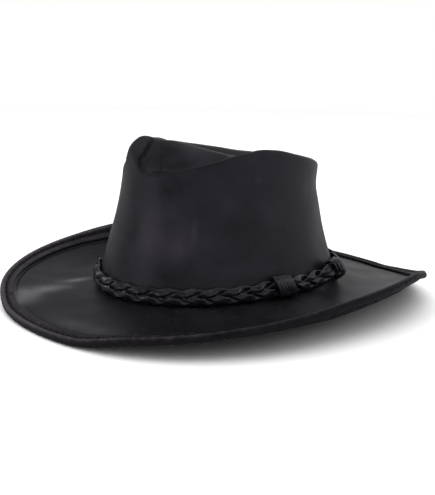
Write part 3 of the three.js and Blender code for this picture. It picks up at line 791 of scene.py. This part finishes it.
# Painted highlight on the flanks and roll, and painted shade in the stitched valley, where none is painted
over_painted_light = FLANK_HIGHLIGHT * (1 - bell(flank - STITCH_INSET, VALLEY_SHADE_WIDTH))
over_painted_light = over_painted_light + bell(flank - ROLL_INSET, ROLL_HIGHLIGHT_WIDTH)
section_painted_light = np.zeros(len(section_insets))
section_painted_light[:len(flank) + len(roll)] = np.r_[over_painted_light, np.maximum(np.cos(roll), 0) ** 2]
round_painted_light = ROUND_HIGHLIGHT + sum(more * bell(signed(edge_angles - angle), spread)
                               for more, angle, spread in MORE_HIGHLIGHT)
mask_on(binding, "painted_light", section_painted_light * round_painted_light)
binding.data.materials.append(leather(
    "rubbed binding leather", dark=(0.0012, 0.001, 0.0014), pale=(0.009, 0.0074, 0.0097),
    smooth=0.36, rough=0.66, patch=0.0055, grain=0.0019, depth=0.00048, marked=0.45,
    wear_and_highlight=(0.055, 0.047, 0.058), mirror=0.22))
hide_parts("brim_binding")
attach(binding, "root")


# Plaited band. Three flat leather laces, plaited flat into a closed band round the foot of the crown.
# Each lace swings from edge to edge, over one neighbour and under the next.
PLAIT_REPEATS = 11
LACE_WIDTH = 5.8
LACE_THICKNESS = 2.2
PLAIT_SWING = 3.6
PLAIT_DEPTH = 1.7
LACE_BANK = 0.58
LACE_LEAN = 0.15
LACE_SIDES = 20
LACE_STEPS = 60 * PLAIT_REPEATS
# Powers that shape a lace's section: how it spreads to the sides, how flat and how full its faces are
SIDE_POWER = 0.85
FLAT_POWER = 2.8
FULL_POWER = 0.6
KEEPER_LENGTH = 17
KEEPER_RAMP = 14
KEEPER_LEATHER = 1.1
PLAIT_HALF_HEIGHT = 6.3
PLAIT_HALF_DEPTH = 2.8
KEEPERS = [
    dict(name="keeper_side", angle=82, swell=0.3, stand_off=0),
    dict(name="keeper_back", angle=125, swell=3.3, stand_off=2.9),
]


def band_point(angle, rise):
    """Points of the crown's wall at a rise above its foot."""
    z = foot_height(angle) + rise
    return head_point(angle, wall_radius(angle, z), z)


RULER_STEPS = 720
ruler_angles = np.linspace(0, 360, RULER_STEPS + 1)
ruler_points = band_point(ruler_angles, PLAIT_HALF_HEIGHT)
ruler_lengths = np.r_[0, np.cumsum(np.linalg.norm(np.diff(ruler_points, axis=0), axis=1))]
band_length = ruler_lengths[-1]


def keeper_push(s):
    """How far the keepers lift the plait off the brim, and how far they push it off the wall, at a
    length s: whole inside a keeper, easing to none beside it."""
    lifts, pushes = [], []
    for keeper in KEEPERS:
        middle = np.interp(keeper["angle"], ruler_angles, ruler_lengths)
        share = np.clip((KEEPER_RAMP - np.abs(s - middle) + KEEPER_LENGTH / 2) / KEEPER_RAMP, 0, 1)
        share = share * share * (3 - 2 * share)
        lifts.append(share * (KEEPER_LEATHER + PIECE_GAP))
        pushes.append(share * (KEEPER_LEATHER + PIECE_GAP + keeper["stand_off"]))
    return np.max(lifts, axis=0), np.max(pushes, axis=0)


def band_place(s, height, depth):
    """Points of the band at a length s, a height above its middle line and a depth in front of it,
    square to the wall there."""
    s = np.mod(s, band_length)
    angle = np.interp(s, ruler_lengths, ruler_angles)
    lift, push = keeper_push(s)
    rise = PLAIT_HALF_HEIGHT + 2 * PIECE_GAP + lift
    along = band_point(angle + 0.5, rise) - band_point(angle - 0.5, rise)
    upward = band_point(angle, rise + 0.5) - band_point(angle, rise - 0.5)
    outward = np.cross(along, upward)
    outward /= np.linalg.norm(outward, axis=-1, keepdims=True)
    up = np.cross(outward, along)
    up /= np.linalg.norm(up, axis=-1, keepdims=True)
    distance = PLAIT_HALF_DEPTH + PIECE_GAP + push + depth
    middle = band_point(angle, rise)
    return middle + up * np.asarray(height)[..., None] + outward * distance[..., None]


def lace_section(count):
    """Section of a flat lace: shares of its width and thickness, round an oval with flat faces."""
    turn = 2 * np.pi * np.arange(count) / count
    width = np.sign(np.cos(turn)) * np.abs(np.cos(turn)) ** SIDE_POWER
    thickness = np.sign(np.sin(turn)) * (1 - np.abs(width) ** FLAT_POWER) ** FULL_POWER
    return 0.5 * width, 0.5 * thickness


def lace_surface(path, tilt):
    """Grid of a lace along a closed path of length, height and depth on the band: at each step its
    section stands square to the path, with its width tilted out of the band's face."""
    ahead, behind = np.roll(path, -1, 0), np.roll(path, 1, 0)
    ahead[-1, 0] += band_length
    behind[0, 0] -= band_length
    tangent = ahead - behind
    tangent /= np.linalg.norm(tangent, axis=1, keepdims=True)
    flat = np.stack([-tangent[:, 1], tangent[:, 0], 0 * tilt], -1)
    flat /= np.linalg.norm(flat, axis=1, keepdims=True)
    across = flat * np.cos(tilt)[:, None] + np.array([0, 0, 1]) * np.sin(tilt)[:, None]
    through = np.cross(tangent, across)
    through /= np.linalg.norm(through, axis=1, keepdims=True)
    wide, thick = lace_section(LACE_SIDES)
    grid = (path[:, None] + across[:, None] * (wide * LACE_WIDTH)[:, None]
            + through[:, None] * (thick * LACE_THICKNESS)[:, None])
    return band_place(grid[..., 0], grid[..., 1], grid[..., 2])


lace_finish = leather(
    "black lace leather", dark=(0.005, 0.0046, 0.006), pale=(0.02, 0.0188, 0.0222),
    smooth=0.2, rough=0.34, patch=0.005, grain=0.0009, depth=0.00004, marked=0.3, mirror=0.85)
for index in (1, 2, 3):
    step = np.arange(LACE_STEPS)
    phase = 2 * np.pi * PLAIT_REPEATS * step / LACE_STEPS + 2 * np.pi * index / 3
    path = np.stack([
        band_length * step / LACE_STEPS,
        PLAIT_SWING * np.sin(phase),
        PLAIT_DEPTH * np.sin(2 * phase),
    ], -1)
    tilt = LACE_BANK * np.cos(3 * phase) + LACE_LEAN * np.cos(phase)
    lace = leather_body(f"plait_lace_{index}", lace_surface(path, tilt))
    lace.data.materials.append(lace_finish)
    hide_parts(f"braid_lace_{index}")
    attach(lace, "root")


# Keepers. At two places a lace is wound round the plait in slanted turns that lie side by side, with
# its ends narrowing to points at the plait's lower and upper edges.
WINDING_TURNS = 5.5
WINDING_SLANT = 5
WINDING_WIDTH = 3.3
WINDING_THICKNESS = 1.7
WINDING_STEPS = 420
WINDING_SIDES = 16
# Power that squares each turn round the plait, and the share of the winding in which an end narrows
WINDING_POWER = 0.8
TUCKED_SHARE = 1 / 18

for keeper in KEEPERS:
    turn = np.linspace(-np.pi / 2, 2 * np.pi * WINDING_TURNS - np.pi / 2, WINDING_STEPS)
    share = (turn - turn[0]) / (turn[-1] - turn[0])
    narrowing = np.sqrt(np.clip(np.minimum(share, 1 - share) / TUCKED_SHARE, 0, 1))[:, None, None]
    up = np.sign(np.sin(turn)) * np.abs(np.sin(turn)) ** WINDING_POWER
    out = np.sign(np.cos(turn)) * np.abs(np.cos(turn)) ** WINDING_POWER
    high = PLAIT_HALF_HEIGHT + 2 * PIECE_GAP + WINDING_THICKNESS / 2
    deep = PLAIT_HALF_DEPTH + PIECE_GAP + WINDING_THICKNESS / 2
    swell = keeper["swell"] * (1 - (2 * share - 1) ** 2) * np.maximum(out, 0)
    middle = np.interp(keeper["angle"], ruler_angles, ruler_lengths)
    path = np.stack([
        middle + (share - 0.5) * (KEEPER_LENGTH - WINDING_WIDTH) - WINDING_SLANT / 2 * up,
        high * up,
        deep * out + swell,
    ], -1)
    tangent = np.gradient(path, axis=0)
    tangent /= np.linalg.norm(tangent, axis=1, keepdims=True)
    away = np.stack([0 * turn, up / high, out / deep], -1)
    across = np.cross(tangent, away)
    across /= np.linalg.norm(across, axis=1, keepdims=True)
    through = np.cross(across, tangent)
    wide, thick = lace_section(WINDING_SIDES)
    grid = path[:, None] + narrowing * (across[:, None] * (wide * WINDING_WIDTH)[:, None]
                                        + through[:, None] * (thick * WINDING_THICKNESS)[:, None])
    placed = band_place(grid[..., 0], grid[..., 1], grid[..., 2])
    ends = band_place(path[[0, -1], 0], path[[0, -1], 1], path[[0, -1], 2])
    winding = leather_body(f"{keeper['name']}_winding", np.swapaxes(placed, 0, 1), poles=tuple(ends))
    winding.data.materials.append(lace_finish)
    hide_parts(keeper["name"])
    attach(winding, "root")
